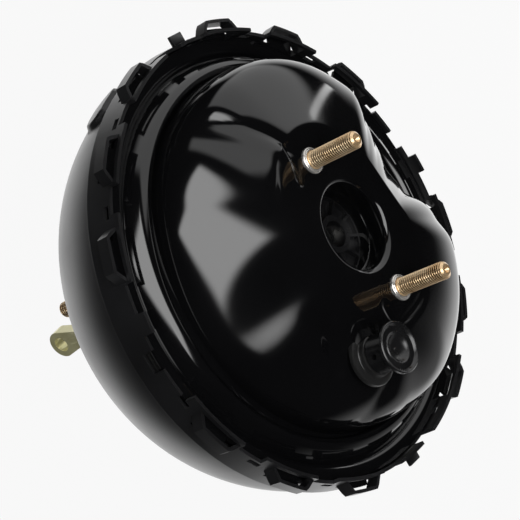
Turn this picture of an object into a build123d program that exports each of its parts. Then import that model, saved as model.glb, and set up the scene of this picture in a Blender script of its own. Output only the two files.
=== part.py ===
from build123d import *
from math import atan2, cos, degrees, hypot, pi, radians, sin, tan
import os

# Vacuum brake booster, 11 inch, single diaphragm. Millimetres, +Z up.
# The origin is the centre of the firewall stud pattern on the firewall face (y = 0).
# The master cylinder side faces -Y; the pushrod eye reaches back along +Y.
# A depth is measured back from the master cylinder face, an angle from +X towards +Z.

os.makedirs("parts", exist_ok=True)

# ---------------------------------------------------------------- driving sizes
body_depth = 138.0          # firewall face to master cylinder face
sheet = 2.0                 # pressed steel of both shells
fit = 0.3                   # gap between neighbours that are not a running fit
running_fit = 0.05          # radial gap of a shaft in its bore
overlap = 0.5               # how far a fused feature reaches into its neighbour

# skirt of the rear shell with its bayonet stations
skirt_radius = 132.2        # outside of the skirt at its front edge
skirt_front = 38.7          # depth of that edge
skirt_flare = 1.3           # raised line where the skirt meets the bowl
skirt_root = 61.8
half_middles = (81.0, -91.5)  # each half of the rim is six stations about a plain gap
station_pitch = 23.0
stations_per_side = 3
loop_height = 6.8           # how far the pressed-out loops stand off the skirt
loop_angle = 12.6
loop_front = 41.5
loop_crown_share = 0.62     # flat part of each loop
loop_foot_spread = 0.5      # angle by which a loop's feet reach past its cut
window_angle = 9.6
window_back = 53.6
slit_angle = 3.2
slit_offset = 10.2          # small slit beside each loop
slit_front = 45.5
slit_back = 48.8
gate_angle = 7.0            # gate in the front edge beside each loop
gate_offset = 10.2
gate_back = 44.0
gap_angle = 17.0
gap_floor = 45.0
gap_pocket_angle = 5.0      # deeper pocket at one end of each gap
gap_pocket_floor = 52.0
ear_middles = (-8.5, 171.5)
ear_width = 10.5
ear_height = 6.3
ear_depth = 46.0
ear_relief_angle = 6.0
ear_relief_floor = 50.0

# bowl of the rear shell: its stations lie inside the skirt by a drop
bowl_front_drop = 0.4
bowl_front_depth = 63.5
bowl_shoulder_drop = 6.0
bowl_shoulder_y = -48.0
bowl_back_rise = 10.4       # the bowl ends this far outside the flat back face
bowl_back_y = -8.0
back_face_margin = 1.7      # flat back face beyond the plate of the firewall studs
rear_boss_angle = 13.0
rear_boss_depth = 75.0
rear_boss_length = 31.0
rear_boss_width = 17.0
rear_boss_height = 3.2
rear_boss_taper = 18.0

# neck on the firewall face
neck_radius = 30.0
neck_length = 22.0
neck_bead = 1.4

# front shell: flange, bead and trough
flange_depth = 49.5
flange_width = 9.7          # from the rim in to the corner
flange_lead = 3.0           # slope between the flange and the corner
corner_depth = 52.1
bead_step = 9.2             # from the corner in to the bead
bead_depth = 41.9
trough_step = 3.0           # from the bead in to the trough
trough_depth = 48.0
trough_width = 20.0         # sheet that the dome stands on
lug_angle = 7.6
lug_height = 3.2            # how far the lugs stand out of the skirt

# front shell: lobed dome
dome_gap_side = 11.0        # from the trough in to the dome's foot, above and below
dome_gap_end = 2.6          # the same beside the studs
pad_side = 40.0             # flat face above and below
pad_end = 62.0              # flat face beside the studs
# fullness of the dome's wall round the axis: 1 is a straight cone, 8 a steep tower
dome_lobes = (
    (-128, 7.5), (-116, 4.4), (-102, 1.8), (-90, 1.6), (-76, 2.2), (-66, 3.4), (-56, 7.0),
    (-30, 8.0), (0, 6.5), (24, 2.6), (46, 2.0), (90, 1.45), (122, 2.0), (145, 2.9), (166, 3.6),
    (190, 5.5), (232, 7.5),
)
dome_points = 40            # points round each section
dome_levels = (0, 0.03, 0.08, 0.16, 0.3, 0.5, 0.75, 1)

# master cylinder interface
stud_spacing = 85.72        # 3-3/8 in
thread_radius = 5.0         # M10 x 1.5
stud_reach = 36.0
stud_head_radius = 9.0
stud_head = 3.5
stud_point = 1.5
shank_rise = 0.4            # the shank in the plates is this much larger than the thread
collar_radius = 7.5
collar_height = 3.8
pilot_radius = 26.4
pilot_lip = 1.9             # rounding of the pilot's mouth
seat_step = 0.5             # the cup narrows by this behind the pilot, where the disc sits
seal_face_depth = 19.0      # face of the ribbed disc
cup_floor_depth = 24.5
cup_floor_hole = 20.0
reinforcement = 3.0         # plate behind each set of studs
reinforcement_inset = 4.0

# firewall interface
wall_spacing_x = 85.72
wall_spacing_z = 123.8
wall_thread_radius = 4.76   # 3/8-16
wall_stud_reach = 26.0
wall_plate_margin = 13.0

# vacuum port
port_axis_radius = 72.0
port_angle = 144.0
port_seat_depth = 8.0
port_seat_radius = 19.0
port_hole_radius = 9.5
grommet_flange_radius = 16.2
grommet_flange = 3.4
grommet_neck_radius = 11.6
grommet_neck = 3.4
plug_shank_radius = 6.2
plug_neck_radius = 8.4
plug_disc_radius = 14.3
plug_disc = 3.0
plug_reach = 15.0           # front of the disc, ahead of the master cylinder face
plug_pin_hole = 2.2

# ribbed disc and its seal
disc_web = 2.0
disc_boss_radius = 10.9
disc_boss_rise = 5.0
disc_boss_back = 34.0
disc_bore_radius = 7.5
disc_rim = 2.2
rib_count = 12
rib_width = 1.6

# power piston and output rod
piston_front = -42.0        # y of the hub's front face
piston_length = 22.0
piston_radius = 40.0
piston_corner = 6.0
passage_radius = 3.2
passage_count = 6
chamber_web = 8.0           # between the rod's pocket and the valve chamber
tube_radius = 19.0
tube_bore = 16.0
tube_end = 45.0             # y of the tube's rear end
output_radius = 7.0
output_tip_depth = 28.0
output_head_radius = 14.6
output_head = 4.0
reaction_thickness = 6.0
retainer_thickness = 1.7
screw_radius = 3.0
screw_head_radius = 5.2
screw_head = 3.6

# diaphragm, its plate and its lock ring
plate_drop = 36.2           # the plate's edge lies inside the skirt by this
plate_sheet = 1.6
plate_rim = 7.0
rubber = 1.5
lock_ring_radius = 27.0
lock_ring = 2.4
diaphragm_bead = 5.0

# springs
wire_sides = 8              # the wire is drawn with flats
spring_wire = 1.9
spring_radius = 24.2
spring_turns = 6
poppet_wire = 0.6
poppet_turns = 4
valve_wire = 0.7
valve_turns = 5

# valve
lead = 1.6                  # travel of the plunger ahead of the piston
plunger_radius = 8.0
plunger_neck_radius = 5.4
plunger_front = -28.0
plunger_back = -3.0
key_thickness = 2.5
key_slot = 5.8
ball_radius = 5.0
ball_y = -9.0
poppet_seat = -13.7
poppet_inner = 8.7
poppet_lip = 2.5
poppet_sleeve = 12.6
poppet_length = 13.4

# input rod
rod_radius = 5.0
rod_neck_radius = 3.2
eye_distance = 119.0        # firewall face to the eye's centre
eye_offset = 8.0            # the rod hangs this far to the side at its eye
eye_radius = 9.0
eye_hole_radius = 5.1
eye_width = 9.0
eye_blend = 2.2             # where the rod starts to widen, in eye radii from the eye
eye_waist = 0.3             # where it meets the eye, in eye radii
rod_collar_y = 33.0
rod_collar_radius = 11.0
rod_collar = 2.0

# bearing, seal and boot at the neck
bearing_flange_radius = 33.0
bearing_flange = 3.4
bearing_back = 10.0
seal_back = 16.0
boot_sheet = 1.5
boot_end = 62.0
boot_pleats = 5
boot_clearance = 7.5        # inside of the pleats over the tube


# ---------------------------------------------------------------- helpers
def front(depth):
    """Y of the plane at a depth behind the master cylinder face."""
    return depth - body_depth


rim_radius = skirt_radius - sheet - fit
skirt_root_radius = skirt_radius + skirt_flare
loop_reach = skirt_radius + loop_height
ear_reach = skirt_radius + ear_height
lug_reach = skirt_radius + lug_height
back_face_radius = hypot(wall_spacing_x, wall_spacing_z) / 2 + wall_plate_margin + back_face_margin
bowl_front = (skirt_radius - bowl_front_drop, front(bowl_front_depth))
bowl_shoulder = (skirt_radius - bowl_shoulder_drop, bowl_shoulder_y)
bowl_back = (back_face_radius + bowl_back_rise, bowl_back_y)
corner_radius = rim_radius - flange_width
bead_radius = corner_radius - bead_step
trough_radius = bead_radius - trough_step
dome_foot_side = trough_radius - dome_gap_side
dome_foot_end = trough_radius - dome_gap_end
plate_radius = skirt_radius - plate_drop
stud_shank = thread_radius + shank_rise
wall_shank = wall_thread_radius + shank_rise
seat_radius = pilot_radius - seat_step
land_depth = seal_face_depth - disc_boss_rise - overlap    # rear end of the pilot, ahead of the disc's boss


def face_plane(y, x=0, z=0):
    """Plane across the axis that faces forward; its own X is X and its own Y is Z."""
    return Plane(origin=(x, y, z), x_dir=(1, 0, 0), z_dir=(0, -1, 0))


def spot(radius, angle):
    """Point at a radius and an angle on a plane across the axis."""
    return (radius * cos(radians(angle)), radius * sin(radians(angle)))


def spoke_plane(radius, depth, angle):
    """Plane at a radius that faces outward; its own X runs along the rim, its Y along the axis."""
    x, z = spot(radius, angle)
    rim_way = (-sin(radians(angle)), 0, cos(radians(angle)))
    out = (cos(radians(angle)), 0, sin(radians(angle)))
    return Plane(origin=(x, front(depth), z), x_dir=rim_way, z_dir=out)


def finish(part, name):
    part.label = name
    export_step(part, f"parts/{name}.step")
    print(name, round(part.volume), len(part.solids()))


def turned(points, y_shift=0.0):
    """Solid of revolution about the axis from (radius, y) points."""
    with BuildPart() as made:
        with BuildSketch(Plane.XY):
            with BuildLine():
                Polyline(*[(radius, y + y_shift) for radius, y in points], close=True)
            make_face()
        revolve(axis=Axis.Y)
    return made.part


def ring(outer, inner, y_front, y_back):
    """Plain ring about the axis."""
    return turned([(inner, y_front), (outer, y_front), (outer, y_back), (inner, y_back)])


def coil(radius, wire, y_front, y_back, turns):
    """Open coil spring about the axis, between two seats."""
    height = y_back - y_front - 2 * wire
    with BuildPart() as made:
        with BuildLine() as path:
            Helix(height / turns, height, radius, center=(0, y_front + wire, 0), direction=(0, 1, 0))
        with BuildSketch(Plane(origin=path.line @ 0, z_dir=path.line % 0)):
            RegularPolygon(wire, wire_sides)
        sweep(is_frenet=True)
    return made.part


station_steps = [step for step in range(-stations_per_side, stations_per_side + 1) if step != 0]
stations = [middle + station_pitch * step for middle in half_middles for step in station_steps]


def arc_bands(depth, outer, inner, middles, angle):
    """Sketch at a depth of equal bands between two radii, centred on angles."""
    with BuildSketch(face_plane(front(depth))) as bands:
        for middle in middles:
            with BuildLine():
                outside = CenterArc((0, 0), outer, middle - angle / 2, angle)
                inside = CenterArc((0, 0), inner, middle - angle / 2, angle)
                Line(outside @ 0, inside @ 0)
                Line(outside @ 1, inside @ 1)
            make_face()
    return bands.sketch


# ---------------------------------------------------------------- rear shell
def skirt_cuts(middles, angle, depth_front, depth_back):
    """Cut through the skirt's sheet between two depths, in the open rear shell block."""
    bands = arc_bands(depth_back, skirt_root_radius + sheet, skirt_radius - 2 * sheet, middles, angle)
    extrude(bands, amount=depth_back - depth_front, mode=Mode.SUBTRACT)


def loop_bands(middles):
    """Pressed-out loops of the skirt in the open rear shell block: bridges with sloped ends."""
    loop_back = flange_depth - fit
    half = loop_angle / 2
    crown = half * loop_crown_share
    with BuildSketch(face_plane(front(loop_back))) as bridges:
        for middle in middles:
            with BuildLine():
                crest = CenterArc((0, 0), loop_reach, middle - crown, 2 * crown)
                foot_a = spot(skirt_radius - overlap, middle - half - loop_foot_spread)
                foot_b = spot(skirt_radius - overlap, middle + half + loop_foot_spread)
                Line(foot_a, crest @ 0)
                Line(crest @ 1, foot_b)
                inner = CenterArc((0, 0), loop_reach - sheet, middle - crown + 0.3, 2 * (crown - 0.3))
                heel_a = spot(skirt_radius - sheet, middle - half)
                heel_b = spot(skirt_radius - sheet, middle + half)
                Polyline(foot_a, heel_a, inner @ 0)
                Polyline(inner @ 1, heel_b, foot_b)
            make_face()
    extrude(bridges.sketch, amount=loop_back - loop_front)


with BuildPart() as rear_shell:
    # skirt, joggle and bowl as one sheet
    with BuildSketch(Plane.XY):
        with BuildLine():
            joggle = Polyline(
                (skirt_radius, front(skirt_front)),
                (skirt_root_radius, front(skirt_root)),
                bowl_front,
            )
            bowl = ThreePointArc(
                joggle @ 1,
                bowl_shoulder,
                bowl_back,
            )
            corner = TangentArc(bowl @ 1, (back_face_radius, 0), tangent=bowl % 1)
            Polyline(
                corner @ 1,
                (neck_radius, 0),
                (neck_radius, neck_length),
                (neck_radius - sheet, neck_length),
                (neck_radius - sheet, -sheet),
                (back_face_radius, -sheet),
            )
            inner_bowl = ThreePointArc(
                (bowl_front[0] - sheet, bowl_front[1]),
                (bowl_shoulder[0] - sheet, bowl_shoulder[1]),
                (bowl_back[0] - sheet, bowl_back[1] - sheet / 2),
            )
            TangentArc(inner_bowl @ 1, (back_face_radius, -sheet), tangent=inner_bowl % 1)
            Polyline(
                inner_bowl @ 0,
                (bowl_front[0] - sheet, front(skirt_root)),
                (skirt_root_radius - sheet, front(skirt_root)),
                (skirt_radius - sheet, front(skirt_front)),
                (skirt_radius, front(skirt_front)),
            )
        make_face()
    revolve(axis=Axis.Y)
    # bead that holds the boot
    with BuildSketch(Plane.XY):
        with Locations((neck_radius - overlap, neck_length - 2 * neck_bead)):
            Circle(neck_bead + overlap)
    revolve(axis=Axis.Y)
    # bayonet stations
    skirt_cuts(stations, loop_angle, loop_front, flange_depth - fit)
    skirt_cuts(stations, window_angle, flange_depth - 2 * fit, window_back)
    skirt_cuts([station - slit_offset for station in stations], slit_angle, slit_front, slit_back)
    skirt_cuts([station + gate_offset for station in stations], gate_angle, skirt_front - overlap, gate_back)
    loop_bands(stations)
    # plain gaps between the two groups of each half
    gaps = [middle + gap_angle / 4 for middle in half_middles]
    skirt_cuts(gaps, gap_angle, skirt_front - overlap, gap_floor)
    pockets = [gap - gap_pocket_angle / 2 for gap in gaps]
    skirt_cuts(pockets, gap_pocket_angle, gap_floor - overlap, gap_pocket_floor)
    # ears and the relief beside each
    reliefs = [middle + ear_relief_angle for middle in ear_middles]
    skirt_cuts(reliefs, ear_relief_angle, skirt_front - overlap, ear_relief_floor)
    for middle in ear_middles:
        with BuildSketch(spoke_plane(skirt_radius - sheet, ear_depth, middle)):
            Rectangle(ear_width, sheet)
        extrude(amount=ear_reach - skirt_radius + sheet)
    # pressed boss on the bowl
    boss_root = bowl_front[0] - 2 * sheet
    with BuildSketch(spoke_plane(boss_root, rear_boss_depth, rear_boss_angle)):
        RectangleRounded(rear_boss_length, rear_boss_width, rear_boss_width / 2.2)
    extrude(amount=rear_boss_height + sheet + 1, taper=rear_boss_taper)
    # clearance holes for the firewall studs
    with Locations(face_plane(0)):
        with GridLocations(wall_spacing_x, wall_spacing_z, 2, 2):
            Hole(wall_shank + fit)
finish(rear_shell.part, "rear_shell")


# ---------------------------------------------------------------- front shell
def lobe_fullness(angle):
    """Fullness of the dome's wall at an angle, eased between the listed lobes."""
    turn = (angle - dome_lobes[0][0]) % 360 + dome_lobes[0][0]
    for (start, low), (end, high) in zip(dome_lobes, dome_lobes[1:]):
        if start <= turn <= end:
            share = (turn - start) / (end - start)
            return low + (high - low) * (1 - cos(pi * share)) / 2
    return dome_lobes[0][1]


def pad_reach(angle):
    """Radius of the flat face's edge at an angle."""
    return pad_side + (pad_end - pad_side) * cos(radians(angle)) ** 2


def dome_reach(angle, level):
    """Radius of the dome at an angle; level runs from 0 at the flat face to 1 at the foot."""
    foot = dome_foot_side + (dome_foot_end - dome_foot_side) * cos(radians(angle)) ** 2
    pad = pad_reach(angle)
    return pad + (foot - pad) * (1 - (1 - level) ** lobe_fullness(angle))


def dome_section(level, inset, shift):
    """Closed section of the dome, inset by a sheet and shifted back by it where asked."""
    depth = level * (trough_depth + sheet / 2) + shift
    angles = [360 * count / dome_points for count in range(dome_points)]
    with BuildSketch(face_plane(front(depth))) as section:
        with BuildLine():
            Spline(*[spot(dome_reach(angle, level) - inset, angle) for angle in angles], periodic=True)
        make_face()
    return section.sketch.face()


port_x, port_z = spot(port_axis_radius, port_angle)
cup_radius = pilot_radius + sheet

with BuildPart() as front_shell:
    # flange, corner, bead and trough as one sheet
    with BuildSketch(Plane.XY):
        with BuildLine():
            sheet_line = Polyline(
                (trough_radius - trough_width, front(trough_depth)),
                (trough_radius, front(trough_depth)),
                (bead_radius - 1.2, front(bead_depth + 1.2)),
                (bead_radius, front(bead_depth)),
                (bead_radius + 1.6, front(bead_depth + 0.8)),
                (corner_radius, front(corner_depth)),
                (corner_radius + flange_lead, front(flange_depth)),
                (rim_radius, front(flange_depth)),
            )
            offset(sheet_line, amount=sheet, side=Side.LEFT, closed=True)
        make_face()
    revolve(axis=Axis.Y)
    # lugs that lie under the loops
    extrude(arc_bands(flange_depth + sheet, lug_reach, rim_radius - 3, stations, lug_angle), amount=sheet)
    # lobed dome, outside
    loft([dome_section(level, 0, 0) for level in dome_levels])
    # lobed dome, inside
    loft([dome_section(level, sheet, sheet) for level in dome_levels], mode=Mode.SUBTRACT)
    # seat of the vacuum port
    with BuildSketch(face_plane(front(port_seat_depth), port_x, port_z)):
        Circle(port_seat_radius)
    extrude(amount=port_seat_depth, taper=-20, mode=Mode.SUBTRACT)
    with BuildSketch(face_plane(front(port_seat_depth + 3 * sheet), port_x, port_z)):
        Circle(port_seat_radius)
    extrude(amount=3 * sheet)
    with BuildSketch(face_plane(front(port_seat_depth + 3 * sheet), port_x, port_z)):
        Circle(port_seat_radius - sheet)
    extrude(amount=2 * sheet, mode=Mode.SUBTRACT)
    with Locations(face_plane(front(port_seat_depth), port_x, port_z)):
        Hole(port_hole_radius)
    # drawn cup of the pilot
    with BuildSketch(face_plane(front(cup_floor_depth + sheet))):
        Circle(cup_radius)
    extrude(amount=cup_floor_depth)
    for depth, radius in ((cup_floor_depth, seat_radius), (land_depth, pilot_radius)):
        with BuildSketch(face_plane(front(depth))):
            Circle(radius)
        extrude(amount=depth + sheet, mode=Mode.SUBTRACT)
    with Locations(face_plane(front(cup_floor_depth))):
        Hole(cup_floor_hole)
    circles = front_shell.edges().filter_by(GeomType.CIRCLE)
    mouth = circles.filter_by_position(Axis.Y, front(0) - running_fit, front(0) + running_fit)
    fillet(mouth, pilot_lip)
    # clearance holes for the cylinder studs
    with Locations(face_plane(front(0))):
        with GridLocations(stud_spacing, 1, 2, 1):
            Hole(stud_shank + fit, depth=2 * sheet)
finish(front_shell.part, "front_shell")


# ---------------------------------------------------------------- master cylinder studs
def pad_outline(inset, y, thickness):
    """Plate with the outline of the flat face, drawn inset."""
    angles = [360 * count / dome_points for count in range(dome_points)]
    with BuildPart() as plate:
        with BuildSketch(face_plane(y)):
            with BuildLine():
                Spline(*[spot(pad_reach(angle) - inset, angle) for angle in angles], periodic=True)
            make_face()
        extrude(amount=thickness)
    return plate.part


plate_front = front(sheet + fit)
with BuildPart() as front_reinforcement:
    add(pad_outline(reinforcement_inset, plate_front + reinforcement, reinforcement))
    with Locations(face_plane(plate_front)):
        Hole(cup_radius + fit)
        with GridLocations(stud_spacing, 1, 2, 1):
            Hole(stud_shank + fit)
finish(front_reinforcement.part, "front_reinforcement")

stud_seat = plate_front + reinforcement
collar_front = front(0) - collar_height      # where the master cylinder's flange rests
with BuildPart() as cylinder_studs:
    with BuildSketch(face_plane(stud_seat)):
        with GridLocations(stud_spacing, 1, 2, 1):
            Circle(stud_shank)
    extrude(amount=stud_seat - collar_front)
    with BuildSketch(face_plane(collar_front)):
        with GridLocations(stud_spacing, 1, 2, 1):
            Circle(thread_radius)
    extrude(amount=stud_reach - collar_height)
    tips = cylinder_studs.edges().filter_by(GeomType.CIRCLE).group_by(Axis.Y)[0]
    chamfer(tips, stud_point)
    with BuildSketch(face_plane(stud_seat + stud_head)):
        with GridLocations(stud_spacing, 1, 2, 1):
            Circle(stud_head_radius)
    extrude(amount=stud_head)
finish(cylinder_studs.part, "cylinder_studs")

with BuildPart() as stud_collars:
    with BuildSketch(face_plane(front(0))):
        with GridLocations(stud_spacing, 1, 2, 1):
            Circle(collar_radius)
            Circle(stud_shank + running_fit, mode=Mode.SUBTRACT)
    extrude(amount=collar_height)
    crowns = stud_collars.edges().filter_by(GeomType.CIRCLE).group_by(Axis.Y)[0].sort_by(SortBy.RADIUS)[-2:]
    fillet(crowns, collar_height / 4)
finish(stud_collars.part, "stud_collars")


# ---------------------------------------------------------------- firewall studs
with BuildPart() as rear_reinforcement:
    wall_plate_x = wall_spacing_x + 2 * wall_plate_margin
    wall_plate_z = wall_spacing_z + 2 * wall_plate_margin
    with BuildSketch(face_plane(-sheet - fit)):
        RectangleRounded(wall_plate_x, wall_plate_z, wall_plate_margin)
    extrude(amount=reinforcement)
    with Locations(face_plane(-sheet)):
        Hole(bearing_flange_radius + fit)
        with GridLocations(wall_spacing_x, wall_spacing_z, 2, 2):
            Hole(wall_shank + fit)
finish(rear_reinforcement.part, "rear_reinforcement")

wall_stud_seat = -sheet - fit - reinforcement
with BuildPart() as firewall_studs:
    with BuildSketch(face_plane(wall_stud_reach)):
        with GridLocations(wall_spacing_x, wall_spacing_z, 2, 2):
            Circle(wall_thread_radius)
    extrude(amount=wall_stud_reach)
    with BuildSketch(face_plane(0)):
        with GridLocations(wall_spacing_x, wall_spacing_z, 2, 2):
            Circle(wall_shank)
    extrude(amount=-wall_stud_seat)
    tips = firewall_studs.edges().filter_by(GeomType.CIRCLE).group_by(Axis.Y)[-1]
    chamfer(tips, stud_point)
    with BuildSketch(face_plane(wall_stud_seat)):
        with GridLocations(wall_spacing_x, wall_spacing_z, 2, 2):
            Circle(stud_head_radius)
    extrude(amount=stud_head)
finish(firewall_studs.part, "firewall_studs")


# ---------------------------------------------------------------- ribbed disc in the pilot
disc_radius = seat_radius - fit
disc_face = front(seal_face_depth)
disc_back = cup_floor_depth - seal_face_depth
boss_front = disc_face - disc_boss_rise
seal_pocket = disc_boss_radius - disc_web / 2
with BuildPart() as pushrod_disc:
    add(turned([
        (disc_bore_radius, boss_front),
        (disc_boss_radius, boss_front),
        (disc_boss_radius, front(cup_floor_depth) - fit - disc_web),
        (disc_radius, front(cup_floor_depth) - fit - disc_web),
        (disc_radius, front(cup_floor_depth) - fit),
        (disc_boss_radius + disc_web, front(cup_floor_depth) - fit),
        (disc_boss_radius + disc_web, front(disc_boss_back)),
        (seal_pocket, front(disc_boss_back)),
        (seal_pocket, front(cup_floor_depth)),
        (disc_bore_radius, front(cup_floor_depth)),
    ]))
    web_front = front(cup_floor_depth) - fit - disc_web
    add(ring(disc_radius, disc_radius - disc_rim, disc_face, web_front + overlap))
    # ribs between the boss and the rim
    rib_start = disc_boss_radius - overlap
    rib_end = disc_radius - disc_rim + overlap
    rib_length = rib_end - rib_start
    rib_middle = (rib_end + rib_start) / 2
    with BuildSketch(face_plane(front(cup_floor_depth) - fit - disc_web / 2)):
        with PolarLocations(rib_middle, rib_count):
            Rectangle(rib_length, rib_width)
    extrude(amount=disc_back - fit - disc_web / 2)
finish(pushrod_disc.part, "pushrod_disc")

seal_ring_back = front(disc_boss_back) - fit
seal_ring_front = front(cup_floor_depth) + fit
output_seal = ring(seal_pocket - running_fit, output_radius + fit, seal_ring_front, seal_ring_back)
finish(output_seal, "output_seal")


# ---------------------------------------------------------------- vacuum port
def port_turned(points):
    """Solid of revolution about the port's own axis from (radius, depth) points."""
    with BuildPart() as made:
        with BuildSketch(Plane(origin=(port_x, 0, port_z), x_dir=(1, 0, 0), z_dir=(0, 0, 1))):
            with BuildLine():
                Polyline(*[(radius, front(depth)) for radius, depth in points], close=True)
            make_face()
        revolve(axis=Axis((port_x, 0, port_z), (0, 1, 0)))
    return made.part


seat = port_seat_depth
flange_front = seat - grommet_flange
neck_front = flange_front - grommet_neck
throat = plug_shank_radius + fit
port_grommet = port_turned([
    (throat, neck_front),
    (grommet_neck_radius - 1, neck_front),
    (grommet_neck_radius, neck_front + 1),
    (grommet_neck_radius, flange_front),
    (grommet_flange_radius - 1, flange_front),
    (grommet_flange_radius, flange_front + 1),
    (grommet_flange_radius, seat - running_fit),
    (port_hole_radius - running_fit, seat - running_fit),
    (port_hole_radius - running_fit, seat + sheet + running_fit),
    (port_hole_radius + sheet, seat + sheet + running_fit),
    (port_hole_radius + sheet / 2, seat + 2 * sheet),
    (throat, seat + 2 * sheet + 1),
])
finish(port_grommet, "port_grommet")

with BuildPart() as port_plug:
    plug_front = -plug_reach
    plug_tail = seat + 3 * sheet
    add(port_turned([
        (0, plug_front + 1.4),
        (plug_disc_radius - 3.4, plug_front + 1.4),
        (plug_disc_radius - 1.6, plug_front),
        (plug_disc_radius, plug_front + 0.8),
        (plug_disc_radius, plug_front + plug_disc),
        (plug_neck_radius, plug_front + plug_disc + 1),
        (plug_neck_radius, neck_front - fit),
        (plug_shank_radius, neck_front - fit),
        (plug_shank_radius, plug_tail - 2),
        (plug_shank_radius - 2, plug_tail),
        (0, plug_tail),
    ]))
    # cross hole through the neck
    pin_depth = (plug_front + plug_disc + neck_front) / 2 + 0.5
    with BuildSketch(Plane(origin=(port_x, front(pin_depth), port_z), x_dir=(0, 1, 0), z_dir=(1, 0, 0))):
        Circle(plug_pin_hole)
    extrude(amount=plug_disc_radius, both=True, mode=Mode.SUBTRACT)
finish(port_plug.part, "port_plug")


# ---------------------------------------------------------------- power piston
hub_front = piston_front
hub_back = piston_front + piston_length
pocket_radius = output_head_radius + fit
pocket_floor = hub_front + retainer_thickness + output_head + reaction_thickness + 2 * running_fit
bore_radius = plunger_radius + running_fit
key_front = pocket_floor + chamber_web
with BuildPart() as power_piston:
    add(turned([
        (pocket_radius, hub_front),
        (piston_radius - piston_corner, hub_front),
        (piston_radius, hub_front + piston_corner),
        (piston_radius, hub_back),
        (tube_radius, hub_back),
        (tube_radius, tube_end),
        (tube_bore, tube_end),
        (tube_bore, key_front),
        (bore_radius, key_front),
        (bore_radius, pocket_floor),
        (pocket_radius, pocket_floor),
    ]))
    # air passages through the hub
    with BuildSketch(face_plane(hub_back + overlap)):
        with PolarLocations((pocket_radius + piston_radius) / 2, passage_count):
            Circle(passage_radius)
    extrude(amount=hub_back - hub_front + 2 * overlap, mode=Mode.SUBTRACT)
finish(power_piston.part, "power_piston")

lock_front = hub_back + plate_sheet + rubber + 2 * fit
with BuildPart() as diaphragm_plate:
    add(turned([
        (tube_radius + running_fit, hub_back),
        (plate_radius - 3 * plate_sheet, hub_back),
        (plate_radius - plate_sheet, hub_back - 2 * plate_sheet),
        (plate_radius - plate_sheet, hub_back - plate_rim),
        (plate_radius, hub_back - plate_rim),
        (plate_radius, hub_back - plate_sheet),
        (plate_radius - 2 * plate_sheet, hub_back + plate_sheet),
        (tube_radius + running_fit, hub_back + plate_sheet),
    ]))
finish(diaphragm_plate.part, "diaphragm_plate")

plate_lock_ring = ring(lock_ring_radius, tube_radius + running_fit, lock_front, lock_front + lock_ring)
finish(plate_lock_ring, "plate_lock_ring")

skin = hub_back + plate_sheet + fit
bead_outer = skirt_radius - sheet - fit
with BuildPart() as diaphragm:
    bead_front = front(flange_depth + sheet) + fit
    bead_inner = bead_outer - diaphragm_bead
    wall_radius = bowl_shoulder[0] - 3 * sheet
    with BuildSketch(Plane.XY):
        with BuildLine():
            outside = ThreePointArc(
                (plate_radius + 1, skin + rubber),
                (wall_radius, bowl_shoulder[1]),
                (bead_outer - diaphragm_bead / 2, front(skirt_root)),
            )
            inside = ThreePointArc(
                (plate_radius + 1, skin),
                (wall_radius - rubber, bowl_shoulder[1]),
                (bead_inner, front(skirt_root)),
            )
            Polyline(
                outside @ 1,
                (bead_outer, front(skirt_root) - fit),
                (bead_outer, bead_front),
                (bead_inner, bead_front),
                inside @ 1,
            )
            Polyline(inside @ 0, (tube_radius + fit, skin), (tube_radius + fit, skin + rubber), outside @ 0)
        make_face()
    revolve(axis=Axis.Y)
finish(diaphragm.part, "diaphragm")


# ---------------------------------------------------------------- output rod
retainer_back = hub_front + retainer_thickness
head_front = retainer_back + running_fit
head_back = head_front + output_head
output_tip = front(output_tip_depth)
with BuildPart() as output_rod:
    with BuildSketch(face_plane(head_back)):
        Circle(output_head_radius)
    extrude(amount=output_head)
    with BuildSketch(face_plane(head_front)):
        Circle(output_radius)
    extrude(amount=head_front - output_tip)
    tip = output_rod.edges().filter_by(GeomType.CIRCLE).group_by(Axis.Y)[0]
    chamfer(tip, 1)
    with BuildSketch(face_plane(output_tip + 4 * screw_head)):
        Circle(screw_radius + fit)
    extrude(amount=4 * screw_head, mode=Mode.SUBTRACT)
finish(output_rod.part, "output_rod")

with BuildPart() as adjusting_screw:
    with BuildSketch(face_plane(output_tip + 3 * screw_head)):
        Circle(screw_radius)
    extrude(amount=3 * screw_head + 2 * fit)
    with BuildSketch(face_plane(output_tip - fit)):
        Circle(screw_head_radius)
    extrude(amount=screw_head)
    nose = adjusting_screw.edges().filter_by(GeomType.CIRCLE).group_by(Axis.Y)[0]
    fillet(nose, screw_head / 2)
finish(adjusting_screw.part, "adjusting_screw")

reaction_disc = ring(output_head_radius, 0, head_back + running_fit, pocket_floor)
finish(reaction_disc, "reaction_disc")

rod_retainer = ring(pocket_radius, output_radius + 2, hub_front, retainer_back)
finish(rod_retainer, "rod_retainer")

spring_seat = front(cup_floor_depth + sheet) + fit
return_spring = coil(spring_radius, spring_wire, spring_seat, hub_front - fit, spring_turns)
finish(return_spring, "return_spring")


# ---------------------------------------------------------------- valve
key_back = key_front + key_thickness
neck_start = key_front - fit
neck_end = key_back + lead + fit
socket_radius = ball_radius + fit
flange_back = poppet_seat - fit
valve_plunger = turned([
    (0, plunger_front),
    (plunger_radius - 1, plunger_front),
    (plunger_radius, plunger_front + 1),
    (plunger_radius, neck_start),
    (plunger_neck_radius, neck_start),
    (plunger_neck_radius, neck_end),
    (poppet_sleeve - 2, neck_end),
    (poppet_sleeve - 2, flange_back),
    (plunger_radius, flange_back),
    (plunger_radius, plunger_back),
    (socket_radius, plunger_back),
    (socket_radius, ball_y - ball_radius - fit),
    (0, ball_y - ball_radius - fit),
])
finish(valve_plunger, "valve_plunger")

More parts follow.
